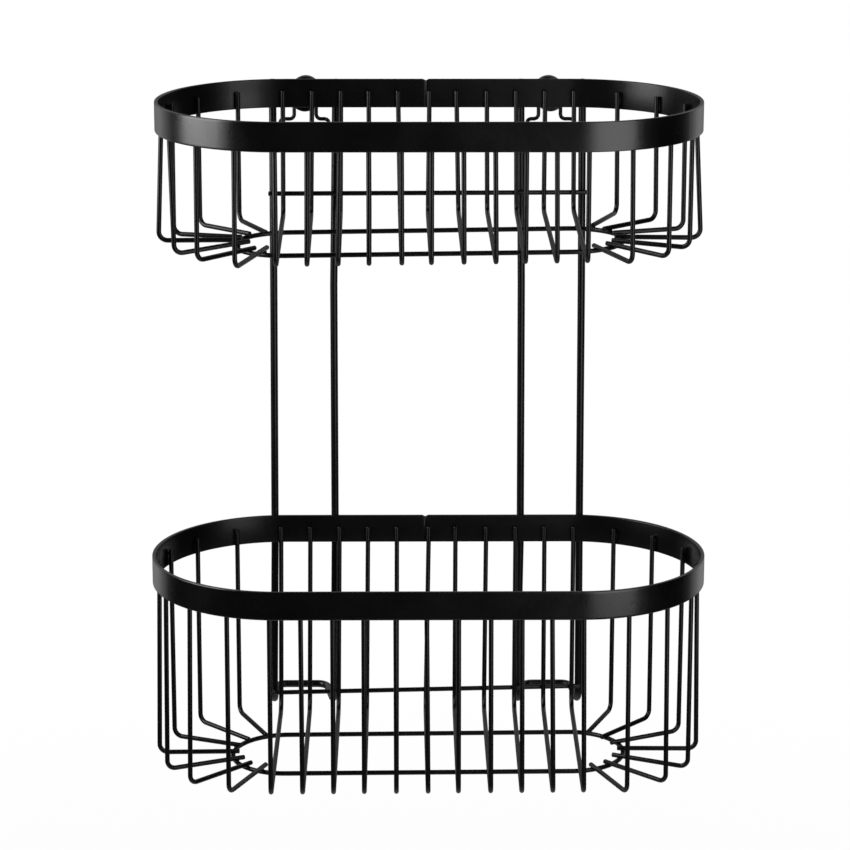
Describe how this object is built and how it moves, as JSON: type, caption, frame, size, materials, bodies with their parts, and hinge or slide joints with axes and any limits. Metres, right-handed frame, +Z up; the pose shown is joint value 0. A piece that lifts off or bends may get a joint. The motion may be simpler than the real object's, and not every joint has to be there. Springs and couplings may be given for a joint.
{
  "type": "two-tier shower caddy",
  "caption": "Wall-hung shower caddy with a shallow and a deeper stadium-shaped wire basket on two hairpin rods, which hook over round wall bosses.",
  "frame": {"origin": "on the wall plane, midway between the axes of the two wall bosses", "axes": "+Z up, +Y into the wall, +X to the right as seen from the front"},
  "size_m": [0.288, 0.1648, 0.3525],
  "materials": {
    "band_coat": "satin black powder coat on flat steel bar",
    "wire_coat": "satin black powder coat on steel wire",
    "rod_coat": "satin black powder coat on steel rod",
    "boss_coat": "satin black powder coat on turned metal"
  },
  "bodies": {
    "wall_side": {"wall_boss_left": "boss_coat", "wall_boss_right": "boss_coat"},
    "caddy": {"hairpin_left": "rod_coat", "hairpin_right": "rod_coat", "upper_rim": "band_coat", "upper_floor_ring": "wire_coat", "upper_cross_wire": "wire_coat", "upper_u_wire_01": "wire_coat", "upper_u_wire_02": "wire_coat", "upper_u_wire_03": "wire_coat", "upper_u_wire_04": "wire_coat", "upper_u_wire_05": "wire_coat", "upper_u_wire_06": "wire_coat", "upper_u_wire_07": "wire_coat", "upper_u_wire_08": "wire_coat", "upper_u_wire_09": "wire_coat", "upper_u_wire_10": "wire_coat", "upper_u_wire_11": "wire_coat", "upper_end_wire_left_1": "wire_coat", "upper_end_wire_left_2": "wire_coat", "upper_end_wire_left_3": "wire_coat", "upper_end_wire_left_4": "wire_coat", "upper_end_wire_left_5": "wire_coat", "upper_end_wire_left_6": "wire_coat", "upper_end_wire_left_7": "wire_coat", "upper_end_wire_right_1": "wire_coat", "upper_end_wire_right_2": "wire_coat", "upper_end_wire_right_3": "wire_coat", "upper_end_wire_right_4": "wire_coat", "upper_end_wire_right_5": "wire_coat", "upper_end_wire_right_6": "wire_coat", "upper_end_wire_right_7": "wire_coat", "lower_rim": "band_coat", "lower_floor_ring": "wire_coat", "lower_cross_wire": "wire_coat", "lower_u_wire_01": "wire_coat", "lower_u_wire_02": "wire_coat", "lower_u_wire_03": "wire_coat", "lower_u_wire_04": "wire_coat", "lower_u_wire_05": "wire_coat", "lower_u_wire_06": "wire_coat", "lower_u_wire_07": "wire_coat", "lower_u_wire_08": "wire_coat", "lower_u_wire_09": "wire_coat", "lower_u_wire_10": "wire_coat", "lower_u_wire_11": "wire_coat", "lower_end_wire_left_1": "wire_coat", "lower_end_wire_left_2": "wire_coat", "lower_end_wire_left_3": "wire_coat", "lower_end_wire_left_4": "wire_coat", "lower_end_wire_left_5": "wire_coat", "lower_end_wire_left_6": "wire_coat", "lower_end_wire_left_7": "wire_coat", "lower_end_wire_right_1": "wire_coat", "lower_end_wire_right_2": "wire_coat", "lower_end_wire_right_3": "wire_coat", "lower_end_wire_right_4": "wire_coat", "lower_end_wire_right_5": "wire_coat", "lower_end_wire_right_6": "wire_coat", "lower_end_wire_right_7": "wire_coat"}
  },
  "joints": [
    {"name": "lift_off", "type": "slide", "parent": "wall_side", "child": "caddy", "axis": [0, 0, 1], "range_m": [0, 0.025]}
  ]
}
